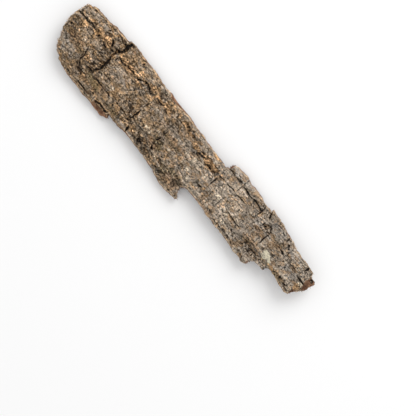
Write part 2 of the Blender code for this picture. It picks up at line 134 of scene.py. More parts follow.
# The open cracks, dark inside: half of how wide each one gapes, and the way it runs
CRACKS = [
    # Along the grain, from the broad end to the middle
    (0.2, [(-101.5, 9.3), (-96.6, 8.8), (-92.5, 8.9), (-90, 9.2), (-87.6, 9.6), (-85.6, 9.1),
           (-83.4, 9)]),
    (0.22, [(-82.6, 8.3), (-81, 8.6), (-79.6, 9.4)]),
    (0.26, [(-77.2, 7.8), (-75.4, 7.2), (-73.4, 6.5)]),
    (0.3, [(-75.6, 12.9), (-74.2, 12), (-72.8, 11), (-72.2, 9.4)]),
    (0.28, [(-72.5, 8.7), (-70.8, 8.5), (-69.2, 8.8)]),
    (0.26, [(-65.2, 8.8), (-62.6, 8.5), (-60.4, 8.6), (-58.6, 8.4)]),
    (0.22, [(-59.8, 9.8), (-57.2, 9.2), (-55.8, 9.3)]),
    (0.34, [(-55.8, 9.2), (-54, 9.6), (-52, 9.2)]),
    (0.26, [(-49.8, 8.5), (-48.6, 9.3), (-47.2, 9.5)]),
    (0.38, [(-47, 10), (-45.6, 10.7), (-44, 10.9)]),
    (0.24, [(-43.4, 10.3), (-42, 10.6), (-40.6, 10.1)]),
    (0.24, [(-40.6, 9.2), (-38.8, 9.2), (-37.2, 9.9)]),
    (0.3, [(-37.2, 10.4), (-36.9, 8.6)]),
    (0.22, [(-34.4, 10.1), (-32, 9.9), (-28.9, 10.1)]),
    (0.24, [(-33.2, 8.1), (-32, 7.8)]),
    (0.24, [(-1.8, 7.6), (0.4, 7.6)]),
    (0.2, [(2.4, 8.4), (4.6, 8.3), (6.4, 8.6), (8, 8.5)]),
    (0.26, [(8.6, 7.4), (10.4, 6.9), (12.2, 7.7), (14.4, 7.6)]),
    (0.26, [(14, 10.4), (15.2, 10.1)]),
    (0.26, [(15.6, 7.6), (17.4, 7.9)]),
    (0.2, [(19.4, 8.3), (22, 8.5), (24.4, 8.8)]),
    (0.18, [(26.4, 9), (29.4, 9.1), (32.4, 9)]),
    (0.24, [(34.6, 9), (36.4, 9.2), (38.6, 9.1), (40.8, 9)]),
    # Right across the broad half
    (0.6, [(-66.2, 21.5), (-66.2, 18.6), (-67.2, 16.4), (-66, 15.2), (-66, 13), (-67.2, 11.4)]),
    (0.5, [(-67.4, 11.6), (-68.5, 10.4), (-68.2, 8.8), (-68.3, 6.8), (-68.5, 5)]),
    (0.62, [(-68.4, 5.2), (-67.5, 3.4), (-67.1, 1.6), (-67.9, 0), (-67, -1.6), (-66.8, -3.4)]),
    (0.48, [(-66.8, -3.4), (-67.8, -4.8), (-68.8, -5.7)]),
    (0.24, [(-65.2, 8.4), (-65.3, 5.6)]),
    (0.26, [(-73.4, -7.9), (-71, -7.8), (-68.4, -7.9)]),
    # Smaller ones across the grain
    (0.22, [(-79.7, -1), (-79.2, -3.2), (-78.1, -5.2), (-78.5, -8), (-77.4, -9.8), (-75.6, -10.9)]),
    (0.3, [(-79.8, -4.6), (-79.4, -6)]),
    (0.3, [(-76.2, -11.9), (-74.6, -12.1), (-73.2, -12)]),
    (0.3, [(-72.8, -13), (-71.6, -13.5)]),
    (0.2, [(-35.5, 6.2), (-35.3, 3.4), (-35.6, 0.2)]),
    (0.36, [(-35.5, -0.6), (-35.4, -2.2), (-35.1, -3.6), (-35.6, -5.2), (-35.4, -7.4), (-36.4, -9)]),
    (0.3, [(-34.1, 13), (-33.8, 11.4)]),
    (0.42, [(-33.3, -11.8), (-32.9, -13.2), (-32.5, -15.4)]),
    (0.24, [(-39.4, -12.9), (-38.4, -12.2), (-37, -12.2)]),
    (0.26, [(-25.2, -11.6), (-24.6, -13.4), (-23.6, -15.6)]),
    (0.42, [(-24.4, -11.8), (-23, -12.7), (-21.6, -13.1)]),
    (0.2, [(-16.6, 3.4), (-16.8, 1.6), (-17.2, 0)]),
    (0.34, [(-16.6, -2.4), (-16.8, -4.2), (-17.4, -5.4)]),
    (0.3, [(-17, -6.8), (-16.6, -8), (-15.9, -10.2), (-15, -12)]),
    (0.34, [(-13.6, -12), (-12.2, -12.8)]),
    (0.32, [(-7.8, -15.1), (-5.4, -15)]),
    (0.22, [(0.9, 7.2), (1, 4.6)]),
    (0.2, [(18.1, 10.8), (18.2, 7.6)]),
    (0.26, [(19.9, 6.6), (20.2, 4.4), (20.4, 2.6), (20.1, 0.6)]),
    (0.24, [(50.1, 16.6), (50.2, 13.6), (50, 10.2)]),
    (0.2, [(37.1, 10.6), (37, 9.2)]),
    (0.1, [(32.7, 20), (32.8, 16), (32.6, 11)]),
    (0.08, [(32.9, 8), (32.4, 3)]),
    (0.1, [(30.9, 3), (30.8, -2.4), (31.2, -6.2)]),
    (0.28, [(54.1, 19), (54.5, 17.2), (55.2, 15.4), (56.4, 13.9)]),
    (0.13, [(58.6, 12.9), (60.4, 11.4), (61.8, 9.6)]),
    (0.22, [(62.2, 8.2), (62.2, 5), (62.4, 1.2)]),
    (0.3, [(71.6, 17.6), (71.7, 15), (71.5, 12.8)]),
    (0.28, [(77.4, 10.6), (77.6, 7.6)]),
    (0.42, [(90.6, 14.6), (90.7, 12.2), (90.5, 10.2)]),
    # Along the grain on the two edges and the narrow half
    (0.26, [(-64.6, -8.3), (-62, -8.6), (-58.6, -8.8)]),
    (0.2, [(-57.6, -9), (-54.6, -8.8), (-52, -9.3)]),
    (0.24, [(-79.4, -16.9), (-76.6, -17.2)]),
    (0.3, [(-71.2, -17), (-68, -17.2), (-64.4, -17)]),
    (0.24, [(20, 15.4), (23.4, 15.6), (26.4, 15.3)]),
    (0.26, [(26, 15.2), (28.8, 15.3), (31.9, 15.7)]),
    (0.3, [(33.4, 14.8), (35.4, 14.5), (37.8, 14.4), (40.2, 14), (41.8, 14.3)]),
    (0.24, [(41.6, 14.2), (44.2, 14.7), (47, 14.2), (48.4, 13.7), (50.4, 13.8)]),
    (0.4, [(73, 7.6), (74.6, 7.2), (76.6, 6.6)]),
    (0.2, [(81.8, 6.4), (84, 6.5), (86.6, 6.4)]),
    (0.28, [(89.2, 5.5), (90.8, 5.3), (92.4, 4.8), (96, 4.8)]),
    (0.22, [(36.6, -1), (40.4, -1.2), (44.6, -1.8), (49, -1.9)]),
    (0.18, [(29.8, -8), (31.6, -8.4), (33.8, -8.6)]),
    (0.26, [(15.4, -3.2), (17, -3.7), (18.8, -3.5)]),
    (0.45, [(-56.4, -17.2), (-54.4, -16.4), (-52, -16.1), (-49.4, -16.6), (-46.5, -15.9)]),
]
# The round pits: where each one is, and its radius
PITS = [
    (-96.3, 1.2, 0.6), (-89.5, 2.1, 0.35), (-79.5, 14.9, 0.45), (-92.6, 16.3, 0.5), (-59.6, 14.2, 0.4),
    (-47.8, -10.9, 0.5), (-46.3, -8.5, 0.5), (-60, -15.2, 0.5), (57.7, 9.6, 0.5), (74.1, 12.5, 0.45),
    (61.5, -6.7, 0.4), (64, -4.9, 0.35), (64.4, -6.9, 0.4), (58.8, -6.2, 0.4), (97.1, 9.2, 0.7),
    (-53.6, 16.6, 0.5), (75.6, 11.2, 0.35), (-12.4, 13.9, 0.4), (-68.6, 16.4, 0.5), (-35.2, -4, 0.7),
    (-63, 8.7, 0.4), (3.4, 8.3, 0.35), (8.6, 9.4, 0.35), (51.9, 5.9, 0.4), (-5.2, 11.6, 0.5),
    (-39.8, -3.9, 0.45), (-43.4, -2.4, 0.4), (-38.6, -6.6, 0.5), (-66.3, 19.2, 0.8), (78.5, 4.6, 0.3),
    (-46.2, 8.2, 0.3), (-22.6, 2, 0.3), (-8.4, -8.8, 0.35), (-7.2, -12.4, 0.35), (44.8, 6.6, 0.35),
    (46.8, -6.2, 0.35), (36.2, -9.8, 0.35), (69.6, 3.4, 0.3), (83.8, -2.8, 0.35), (88.6, -3.3, 0.4),
]


# Without a seed of its own, the drift would be another one in each run
noise.seed_set(40)


def drift(points, size, seed):
    """Random shifts in the plane, up to about 1, that are alike within this size."""
    return np.array([noise.noise_vector(p)[:2] for p in (points / size + seed).tolist()])


# In millimetres: how far beside its line a crack is worked out, how far from its ends it narrows,
# the offset of a point with no crack near it, and the short line that stands for a pit
CRACK_BAND = 2.5
CRACK_TAPER = 1.2
NO_CRACK = 9.0
PIT_LINE = 0.01


def crack_reach(points):
    """How wide the nearest crack or pit gapes, and how far left or right of its line each point is."""
    plan = points[:, :2] + 0.45 * drift(points, 2.6, 3.1) + 0.2 * drift(points, 0.9, 8.4)
    gape = np.zeros(len(plan))
    offset = np.full(len(plan), NO_CRACK)
    ways = [(half, np.array(path)) for half, path in CRACKS]
    ways += [(radius, np.array([(x - PIT_LINE, y), (x, y)])) for x, y, radius in PITS]
    for half, path in ways:
        steps = np.linalg.norm(np.diff(path, axis=0), axis=1)
        starts = np.concatenate([[0.0], np.cumsum(steps)])
        is_pit = starts[-1] < 2.0 * PIT_LINE
        for a, b, start in zip(path, path[1:], starts):
            low, high = np.minimum(a, b) - CRACK_BAND, np.maximum(a, b) + CRACK_BAND
            near = np.flatnonzero(((plan > low) & (plan < high)).all(axis=1))
            run = b - a
            share = np.clip(((plan[near] - a) @ run) / (run @ run), 0.0, 1.0)
            foot = plan[near] - a - share[:, None] * run
            away = np.linalg.norm(foot, axis=1)
            left = np.where(run[0] * foot[:, 1] - run[1] * foot[:, 0] < 0.0, -1.0, 1.0)
            along = start + share * np.linalg.norm(run)
            from_end = np.minimum(along, starts[-1] - along)
            narrowed = 0.25 + 0.75 * eased(from_end, 0.0, CRACK_TAPER)
            open_here = half if is_pit else half * narrowed
            better = open_here - away > gape[near] - np.abs(offset[near])
            offset[near] = np.where(better, left * away, offset[near])
            gape[near] = np.where(better, open_here, gape[near])
    return gape, offset


# Where the cork is flaky and where it is smooth, with half lengths along and across the grain
FLAKY = [
    (-73, 6, 8, 14), (-73, -10, 6, 7), (-57, 9.8, 10, 2.2), (-38, 10.6, 11, 3.2),
    (-86, 9.6, 8, 2.6), (10.5, 8.4, 10.5, 2.2), (-41, -6, 8, 5), (-22, -12.5, 9, 2.6),
    (-16, -6, 3, 6), (62, -5.5, 7, 3.4), (-24, 10.5, 6, 2.2), (-10, 12.3, 8, 1.8),
    (59.5, 9.5, 4, 2.6), (4, -12, 9, 4), (86, -3.6, 9, 1.7), (48, -10.8, 14, 1.8),
]
SMOOTH = [
    (-86, 14.2, 6, 2.4), (-57, 3, 7, 4), (-30, 5.6, 5, 2.6), (65, 13, 6.5, 2.8),
    (56, 8, 4, 2), (84, 2.5, 7, 2.8), (-88, -9, 7, 4), (80, 11, 5, 2.2),
    (30, 17.8, 9, 1.8), (-72, 1.5, 3, 3), (-38, -14.2, 4.5, 1.3), (-28, -14.2, 4, 1.3),
]


def patch_share(points, places):
    """1 in the middle of the nearest listed place, 0 at its rim and less beyond it."""
    away = [np.hypot((points[:, 0] - x) / a, (points[:, 1] - y) / b) for x, y, a, b in places]
    return 1.0 - np.min(away, axis=0)


# The longest edges in millimetres: on the outer face, at the rim, underneath, beside a crack up to
# its margin, and where any will do. A point's column 3 is how far it faces up, from -1 to 1.
OUTER_EDGE = 0.66
RIM_EDGE = 0.6
UNDER_EDGE = 1.3
CRACK_EDGE = 0.28
CRACK_MARGIN = 0.35
ANY_EDGE = 9.0


def evenly(middles):
    """The longest edge at each place, for faces of even size."""
    facing_up = middles[:, 3]
    return np.select([facing_up < -0.5, facing_up > 0.5], [UNDER_EDGE, OUTER_EDGE], RIM_EDGE)


def beside_cracks(middles):
    """The longest edge at each place, for finer faces beside the cracks alone."""
    gape, offset = crack_reach(middles[:, :3])
    beside = (gape - np.abs(offset) > -CRACK_MARGIN) & (middles[:, 3] > 0.3)
    return np.where(beside, CRACK_EDGE, ANY_EDGE)


points = np.column_stack([points, normals_of(points, faces)[:, 2]])
for _ in range(4):
    points, faces = split_longer(points, faces, evenly)
points = points[:, :3]
edges = edges_of(faces)[0]

# Where the slab touches the floor, what faces up, down and sideways, and how far each point lies
# under the even form
FLOOR_TOUCH = 0.001
flat_spots = points[:, 2] < FLOOR_TOUCH
even = settled(points, edges, rounds=40)
even_normals = normals_of(even, faces)
up = eased(even_normals[:, 2], 0.35, 0.65)
down = eased(-even_normals[:, 2], 0.35, 0.65)
sunk = ((even - points) * even_normals).sum(axis=1)

# The solid's own grooves are evened out, for finer ones are cut here, and its rim stays sharp
rim = np.clip(1.8 * settled(1.0 - up - down, edges, rounds=2), 0.0, 1.0)
soft = settled(points, edges, rounds=18)
soft = soft + (points - soft) * np.maximum(0.85 * rim, flat_spots)[:, None]

# How deep each point lies under the outer face, which tells cork from inner bark
outer = np.flatnonzero((even_normals[:, 2] > 0.8) & (sunk < 0.3))[::5]
roof = KDTree(len(outer))
for number in outer.tolist():
    roof.insert((even[number, 0], even[number, 1], 0.0), number)
roof.balance()
depth = np.zeros(len(points))
for number in np.flatnonzero(up < 0.999).tolist():
    found = roof.find_n((points[number, 0], points[number, 1], 0.0), 3)
    depth[number] = np.mean([even[f[1], 2] for f in found]) - points[number, 2]

# Finer faces beside the cracks, and what is known of each point goes along
table = np.column_stack([soft, even_normals[:, 2], up, down, depth])
for _ in range(2):
    table, faces = split_longer(table, faces, beside_cracks)
points, up, down, depth = table[:, :3], table[:, 4], table[:, 5], table[:, 6]
flat_spots = points[:, 2] < FLOOR_TOUCH
side = 1.0 - up - down
edges = edges_of(faces)[0]
normals = normals_of(settled(points, edges, rounds=3), faces)

# How far inside a crack's lip each point lies, in millimetres, and less than nothing outside it
gape, offset = crack_reach(points)
gape = gape * eased(gape - np.abs(offset), -0.9, -0.5) * up
lip = gape - np.abs(offset)

# The patterns are read at bent places, so that none of them runs dead straight
tipwards = points[:, 0]
twist = drift(points, 11.0, 3.1)
shiver = drift(points, 2.6, 5.3)
bent = points + np.pad(1.6 * twist + 0.55 * shiver, ((0, 0), (0, 1)))


def hills(length, width, height, seed, places=bent):
    """Smooth random ground from about -1 to 1, with hills of this size."""
    spots = places / (length, width, height) + 13.7 * seed
    return np.array([noise.noise(p) for p in spots.tolist()])


def scales(length, width, seed, places=bent):
    """Scales of cork: each one's own level from -1 to 1, and the gap between them from 0 to 1."""
    spots = places * (1.0 / length, 1.0 / width, 0.25) + 7.1 * seed
    found = [noise.voronoi(p) for p in spots.tolist()]
    level = np.array([2.0 * noise.cell(centres[0] * 91.7) - 1.0 for _, centres in found])
    gap = np.array([reach[1] - reach[0] for reach, _ in found])
    return level, gap


def marked(places, ragged=0.45):
    """How far inside a mark each point lies: 1 in the middle, 0 at its ragged rim, less outside."""
    rim = ragged * (0.6 * twist[:, 0] + 1.1 * shiver[:, 0] + 0.5 * crumbs)
    return np.clip(patch_share(points, places) - rim, -1.0, 1.0)


crumbs = hills(0.9, 0.7, 0.8, 4, points)
plate, plate_gap = scales(15.0, 5.0, 1)
scale, scale_gap = scales(4.6, 2.1, 2)
chip = scales(2.0, 1.1, 3)[0]
grain = 1.0 - 2.0 * np.abs(hills(12.0, 0.95, 3.0, 5))
thread = 1.0 - 2.0 * np.abs(hills(6.0, 0.5, 2.0, 6))
pock, pock_gap = scales(2.6, 2.0, 7)

flaky = eased(marked(FLAKY), -0.15, 0.3)
smooth = eased(marked(SMOOTH), -0.15, 0.3) * (1.0 - flaky)
lively = 0.65 + 0.4 * hills(24.0, 9.0, 9.0, 8) + 0.7 * flaky - 0.5 * smooth
lively -= 0.2 * eased(tipwards, 10.0, 40.0)

# The relief of the outer face, with its heights and depths in millimetres. Plates, scales and
# chips lie at their own levels, and flaky cork has lost some chips and curls up beside its cracks.
PLATE_STEP = 0.1
PLATE_GROOVE = 0.14
SCALE_GROOVE = 0.12
GRAIN_HEIGHT = 0.08
CRUMB_HEIGHT = 0.12
POCK_DEPTH = 0.25
LOST_CHIP = 0.35
CRACK_DEPTH = 0.35
LIP_CURL = 0.12
relief = (
    PLATE_STEP * plate - PLATE_GROOVE * (1.0 - eased(plate_gap, 0.02, 0.1))
    + (0.07 + 0.13 * flaky) * scale
    - SCALE_GROOVE * (1.0 - eased(scale_gap, 0.03, 0.14)) * (0.4 + flaky)
    + (0.05 + 0.12 * flaky) * chip
    + GRAIN_HEIGHT * grain + GRAIN_HEIGHT * thread + CRUMB_HEIGHT * crumbs
    - POCK_DEPTH * eased(pock, 0.72, 0.8) * (1.0 - eased(pock_gap, 0.0, 0.4))
) * lively
relief -= LOST_CHIP * flaky * eased(-chip, 0.6, 0.75)
relief -= (CRACK_DEPTH + 1.3 * gape) * eased(lip, -0.16, 0.12 + 0.4 * gape) * (0.9 + 0.5 * crumbs)
relief += LIP_CURL * flaky * eased(lip, -0.7, -0.25) * (1.0 - eased(lip, -0.25, -0.1))

# The broken rim: layers of bark, torn bits and bites out of the edge
layer = hills(7.0, 7.0, 0.42, 9, points)
torn = hills(1.3, 1.3, 0.7, 10, points)
bite = hills(3.4, 1.5, 2.2, 14, points)
ragged = 0.2 * layer + 0.3 * torn + 0.4 * bite + 0.1 * crumbs - 0.12

# The hollow underside: long fibres, thinner strands, and strips at their own levels
fibre = 1.0 - 2.0 * np.abs(hills(24.0, 1.5, 6.0, 11))
strand = 1.0 - 2.0 * np.abs(hills(11.0, 0.8, 4.0, 12))
peel, peel_gap = scales(34.0, 3.4, 13)
inner = 0.22 * fibre + 0.12 * strand + 0.16 * peel - 0.2 * (1.0 - eased(peel_gap, 0.02, 0.2))

# All three move the surface, which stays inside the solid's box and just clear of the floor
# wherever it doesn't rest on it
FLOOR_GAP = 0.08
push = up * relief + side * ragged + down * inner
push[flat_spots] = 0.0
points = points + normals * push[:, None]
points = np.clip(points, box_low, box_high)
points[~flat_spots, 2] = np.maximum(points[~flat_spots, 2], FLOOR_GAP)

# How deep each point lies in the fine relief, for painted shade in its hollows and painted highlight
# on its ridges, but not beside the cracks
fine_form = settled(points, edges, rounds=5)
out_of_form = normals_of(settled(points, edges, rounds=26), faces)
pit_fine = ((fine_form - points) * out_of_form).sum(axis=1) * (1.0 - eased(lip, -0.8, -0.4))

# The marks on the bark: cork broken open to tan, pale specks, dark hollows, stains, places where
# the cork is gone, and lichen. Each has its half lengths along and across the grain.
TAN = [
    (-90.5, 11, 2.4, 1), (-83, 10.8, 1.8, 1.5), (-76.5, 10.2, 4.2, 2.2), (-82.5, 8.2, 3, 0.9),
    (-91, 7.4, 2.4, 0.9), (-66.4, 11, 1.2, 1), (-66.8, 6.6, 1, 1.6), (-57.5, 9.8, 7.5, 1.3),
    (-56, 8, 3.4, 0.8), (-50.5, 12.4, 1.2, 1.6), (-38.4, 12.4, 2.6, 2.2), (-48, 7.6, 3, 0.9),
    (-31, 10.8, 4, 1), (-24, 9.8, 3, 1), (-24.5, 14.4, 1.2, 0.6), (-18.6, 14, 1.3, 1.4),
    (-12.6, 12.8, 2.6, 1.2), (-6.5, 11.4, 3.6, 0.6), (-0.5, 9, 3.6, 1.2), (12, 9.2, 7.5, 1.6),
    (13, 7, 4, 0.7), (12, 14, 2, 0.8), (-71.5, -12.3, 1.3, 0.8), (-76, -4.6, 2.6, 1.5),
    (-36, 9.9, 0.7, 2.3), (-55, -15.5, 3, 0.5), (-37, -12.4, 2.4, 0.5), (-31, -11.4, 1.2, 0.5),
    (20, -2.5, 0.6, 1.2), (24, -4, 0.5, 1.2), (60, 4.2, 1.4, 0.6), (77, -2.8, 2.4, 1),
    (93.8, 0.8, 1.6, 2), (-80, 9.6, 4.6, 1.6), (-74, 8.6, 3, 1.4), (13.4, 8.4, 5, 1.4),
]
PALE = [
    (-77.5, -0.8, 0.9, 0.5), (-54.3, -5.2, 1.3, 0.8), (-19.8, -0.9, 0.7, 0.5), (-26, -4.6, 1.3, 0.6),
    (-16, -6.1, 0.9, 0.4), (-19.7, -12.6, 0.5, 0.5), (9.3, -6.2, 1.5, 0.6), (22, 13.1, 0.9, 0.4),
    (67, 4.8, 0.5, 1.1), (19, 3.6, 0.6, 0.6), (26, 5, 0.8, 0.6), (5.4, 4.2, 1.4, 0.9),
    (28.5, 0.2, 2.2, 0.9), (38.5, -2.8, 0.9, 0.9), (40.2, -6.8, 1, 0.9), (57, -12.6, 1.2, 0.4),
    (-92, 11, 0.6, 0.5), (-9, -3.6, 0.7, 0.6), (6, -2.6, 1.6, 1.4), (87, 8.5, 1.6, 0.3),
    (94.2, 3.5, 2.4, 1.2), (-42.5, -16.4, 0.5, 0.4), (-34, 2, 0.5, 0.6), (-47, 3, 0.6, 0.4),
]
DARK = [
    (-66, 18.2, 2.6, 1.8), (-71.5, 17, 3.2, 1.2), (-87.5, 17.8, 2.4, 0.5), (-53, 16.4, 1.4, 1),
    (-73.5, -11.8, 4, 1), (-77.5, 13.2, 2, 0.8), (-40.5, -4.2, 2.4, 1.6), (-43.4, -2.4, 1, 0.8),
    (-45.6, -8.4, 1.4, 0.7), (-36, -6, 1.4, 2.6), (-38.8, -7, 1.6, 1), (62.5, -5.2, 4.2, 2),
    (-16.8, -3.4, 0.9, 1.6), (-22.6, -12.6, 1.8, 0.9), (-5, -11.6, 2.2, 1.2), (17, -3.2, 1.5, 0.7),
    (58, 9.4, 0.8, 0.5), (-33.8, 11.8, 0.8, 1.4), (-96.3, 1.1, 0.8, 0.9), (-68, 1, 1.2, 5),
    (-75.5, 7.6, 1.2, 0.9), (-70, 8.6, 1.4, 0.6), (22.4, -2.8, 0.9, 0.9), (88.5, -3.2, 1.2, 0.7),
    (-52, -17.6, 4, 0.7), (-66.5, 13, 1.2, 5), (-72, 11.4, 1.6, 0.8), (-62, -17.2, 3, 0.6),
    (97.1, 9.4, 0.9, 0.9), (64, 15.6, 2.4, 0.4), (69, 16.2, 1.6, 0.4), (47, 14.2, 3, 0.4),
]
STAIN = [
    (-84, -4.8, 4.6, 1.6), (-17, -7, 5, 3.4), (28, -9.4, 6.5, 0.9), (59, -2, 6, 2.4),
    (59.5, 5, 6.5, 1.4), (4, -13, 9, 5), (-90, -2, 6, 2), (-62, -10, 8, 2.4),
    (-8, 1, 8, 2), (70, 8, 6, 1.4), (-44, -13.6, 6, 1.6), (80, -3.4, 8, 1.4),
]
LAID_BARE = [
    (98.2, 6.5, 3, 5.6), (-50.5, -18.4, 6.6, 1.7), (-25.4, 17.2, 5.4, 1.2), (94.4, -3.2, 1.6, 2.4),
    (-30, 18, 2.4, 0.8), (21, 17.4, 0.7, 1.6), (66.2, -11.6, 0.8, 1.4), (-61.8, 16.8, 0.8, 0.9),
]
LICHEN = [(70.2, -0.5, 3.5, 1.5), (68, 0.7, 1.5, 0.8), (73.6, -1.4, 1.1, 0.7), (70, -1.9, 1.3, 0.7)]
attributes = {
    "depth": depth,
    "pit_fine": pit_fine,
    "gape": gape,
    "offset": offset,
    "plate": plate,
    "scale": scale,
    "flaky": flaky,
    "smooth": smooth,
    "tan": marked(TAN),
    "pale": marked(PALE),
    "dark": marked(DARK),
    "stain": marked(STAIN),
    "bare": marked(LAID_BARE, 0.25) - 2.0 * down,
    "lichen": marked(LICHEN, 0.6) - 2.0 * (1.0 - up),
}


def noted(mesh, marks):
    """Writes these numbers on a mesh's points, for the material or a geometry tree to read."""
    for name, values in marks.items():
        column = mesh.attributes.new(name, "FLOAT", "POINT")
        column.data.foreach_set("value", values.astype(np.float32))


def placed(name, data):
    """A new object in the scene for this mesh, lamp or camera."""
    thing = bpy.data.objects.new(name, data)
    bpy.context.scene.collection.objects.link(thing)
    return thing


slab_mesh = bpy.data.meshes.new("bark_slab")
slab_mesh.from_pydata((points * MM).tolist(), [], faces.tolist())
slab_mesh.polygons.foreach_set("use_smooth", np.ones(len(faces), bool))
noted(slab_mesh, attributes)
slab_mesh.update()
slab = placed("bark_slab", slab_mesh)


class Value:
    """A socket in a tree of nodes. Sums and products that are written with it add their nodes."""

    def __init__(self, tree, socket=None):
        self.tree = tree
        self.socket = socket

    def node(self, kind, settings, sockets, output=0):
        """Adds any node: its settings first, then the values or links of its sockets."""
        made = self.tree.nodes.new(kind)
        for name, setting in settings.items():
            setattr(made, name, setting)
        for name, value in sockets.items():
            if isinstance(value, Value):
                self.tree.links.new(value.socket, made.inputs[name])
            elif isinstance(value, tuple) and len(made.inputs[name].default_value) == 4:
                made.inputs[name].default_value = (*value, 1.0)
            else:
                made.inputs[name].default_value = value
        return Value(self.tree, made.outputs[output])

    def beside(self, output):
        """Another output of the same node."""
        return Value(self.tree, self.socket.node.outputs[output])

    def feeds(self, socket):
        """Links this value to a socket of a node that is there already."""
        self.tree.links.new(self.socket, socket)

    def math(self, operation, *values):
        return self.node("ShaderNodeMath", {"operation": operation}, dict(enumerate(values)))

    def __add__(self, other):
        return self.math("ADD", self, other)

    def __sub__(self, other):
        return self.math("SUBTRACT", self, other)

    def __rsub__(self, other):
        return self.math("SUBTRACT", other, self)

    def __mul__(self, other):
        return self.math("MULTIPLY", self, other)

    def __rtruediv__(self, other):
        return self.math("DIVIDE", other, self)

    def __pow__(self, other):
        return self.math("POWER", self, other)

    def __abs__(self):
        return self.math("ABSOLUTE", self)

    def __lt__(self, other):
        return self.math("LESS_THAN", self, other)

    __radd__ = __add__
    __rmul__ = __mul__

    def at_least(self, other):
        return self.math("MAXIMUM", self, other)

    def at_most(self, other):
        return self.math("MINIMUM", self, other)

    def between(self, low, high):
        """0 at low, 1 at high, easing from one to the other."""
        sockets = {"Value": self, "From Min": low, "From Max": high}
        return self.node("ShaderNodeMapRange", {"interpolation_type": "SMOOTHSTEP"}, sockets)

    def mix(self, first, second):
        """One colour going over to another as this value goes from 0 to 1."""
        return self.node("ShaderNodeMix", {"data_type": "RGBA"}, {0: self, 6: first, 7: second}, 2)

    def vector(self, *parts):
        """Three numbers as one vector."""
        return self.node("ShaderNodeCombineXYZ", {}, dict(enumerate(parts)))

    def vector_math(self, operation, *vectors):
        settings = {"operation": operation}
        return self.node("ShaderNodeVectorMath", settings, dict(enumerate(vectors)))


def new_material(name):
    """A material and its shader."""
    material = bpy.data.materials.new(name)
    material.use_nodes = True
    return material, material.node_tree.nodes["Principled BSDF"]


bark, shader = new_material("bark")
shader.inputs["Specular IOR Level"].default_value = 0.25
tree = Value(bark.node_tree)
place = tree.node("ShaderNodeTexCoord", {}, {}, "Object")


def reads(name):
    """A number that the mesh has at each point."""
    settings = {"attribute_type": "GEOMETRY", "attribute_name": name}
    return tree.node("ShaderNodeAttribute", settings, {}, "Fac")


def measured(spots, sizes, seed):
    """Places for a pattern whose spots have these sizes in millimetres, along, across and up."""
    grid = tuple(1.0 / (MM * size) for size in sizes)
    sockets = {"Vector": spots, "Scale": grid, "Location": (seed, seed, seed)}
    return tree.node("ShaderNodeMapping", {}, sockets)


def texture(length, width, height, detail, rough, seed):
    """Noise from 0 to 1 whose spots have this size in millimetres."""
    spots = measured(place, (length, width, height), seed)
    sockets = {"Vector": spots, "Scale": 1.0, "Detail": detail, "Roughness": rough}
    return tree.node("ShaderNodeTexNoise", {}, sockets)


CORK_GREY = (0.34, 0.27, 0.2)
CORK_BROWN = (0.25, 0.172, 0.103)
CORK_LILAC = (0.4, 0.345, 0.29)
TAN_CORK = (0.64, 0.4, 0.21)
OCHRE_CORK = (0.34, 0.195, 0.085)
RIM_CORK = (0.5, 0.36, 0.22)
MOSS_STAIN = (0.15, 0.115, 0.055)
RUST_STAIN = (0.22, 0.125, 0.06)
CREAM = (0.72, 0.61, 0.45)
# Near-black and dark brown: painted shade in the hollows and cracks, and dirt in the dark marks and
# pinholes
SHADE_AND_DIRT_BLACK = (0.008, 0.005, 0.003)
SHADE_AND_DIRT_BROWN = (0.09, 0.052, 0.028)
INNER_RED = (0.12, 0.05, 0.027)
INNER_TAN = (0.27, 0.155, 0.09)
LICHEN_CREAM = (0.74, 0.67, 0.5)
LICHEN_GREY = (0.4, 0.36, 0.28)

broad = texture(18.0, 7.0, 7.0, 3.0, 0.55, 2.0)
patch = texture(3.2, 1.6, 1.6, 4.0, 0.65, 9.0)
speck = texture(0.9, 0.6, 0.6, 3.0, 0.7, 4.0)
grain_line = texture(9.0, 0.55, 1.2, 3.0, 0.6, 7.0).between(0.3, 0.7)
fibre_line = texture(16.0, 0.42, 0.6, 3.0, 0.65, 11.0).between(0.3, 0.7)
along = tree.node("ShaderNodeSeparateXYZ", {}, {0: place})
narrow_half = along.between(-30.0 * MM, 20.0 * MM)

# The crust is a mosaic of blocks, chips and crumbs of cork, each with its own tone, with thin dark
# gaps between rows of them and pinholes. Their lengths and widths are in millimetres, and their
# outlines wobble, by less on the narrow half.
BLOCK = (2.8, 1.6)
CHIP = (1.25, 0.85)
CRUMB = (0.62, 0.5)
ROW = (2.1, 1.35)
SMALL_ROW = (1.1, 0.8)
PINHOLE = (2.1, 1.4)
WOBBLES_PER_METRE = 700.0
sockets = {"Vector": place, "Scale": WOBBLES_PER_METRE, "Detail": 3.0}
wobble = tree.node("ShaderNodeTexNoise", {}, sockets, "Color")
sockets = {0: wobble, "Scale": 0.65 * MM - 0.3 * MM * narrow_half}
wobble = tree.node("ShaderNodeVectorMath", {"operation": "SCALE"}, sockets)
wobbled = tree.vector_math("ADD", place, wobble)


def mosaic(cell, seed, feature, output, disorder=1.0):
    """Cells of this length and width; without disorder they stand in rows, at 1 they lie anyhow."""
    length, width = cell
    spots = measured(wobbled, (length, width, width), seed)
    sockets = {"Vector": spots, "Scale": 1.0, "Randomness": disorder}
    return tree.node("ShaderNodeTexVoronoi", {"feature": feature}, sockets, output)


def tones(cell, seed, parts=(0, 1)):
    """Random numbers from 0 to 1 for each cell: its tone and its tint, or the parts asked for."""
    chosen = mosaic(cell, seed, "F1", "Color")
    chosen = tree.node("ShaderNodeSeparateColor", {}, {0: chosen})
    return [chosen.beside(part) for part in parts]


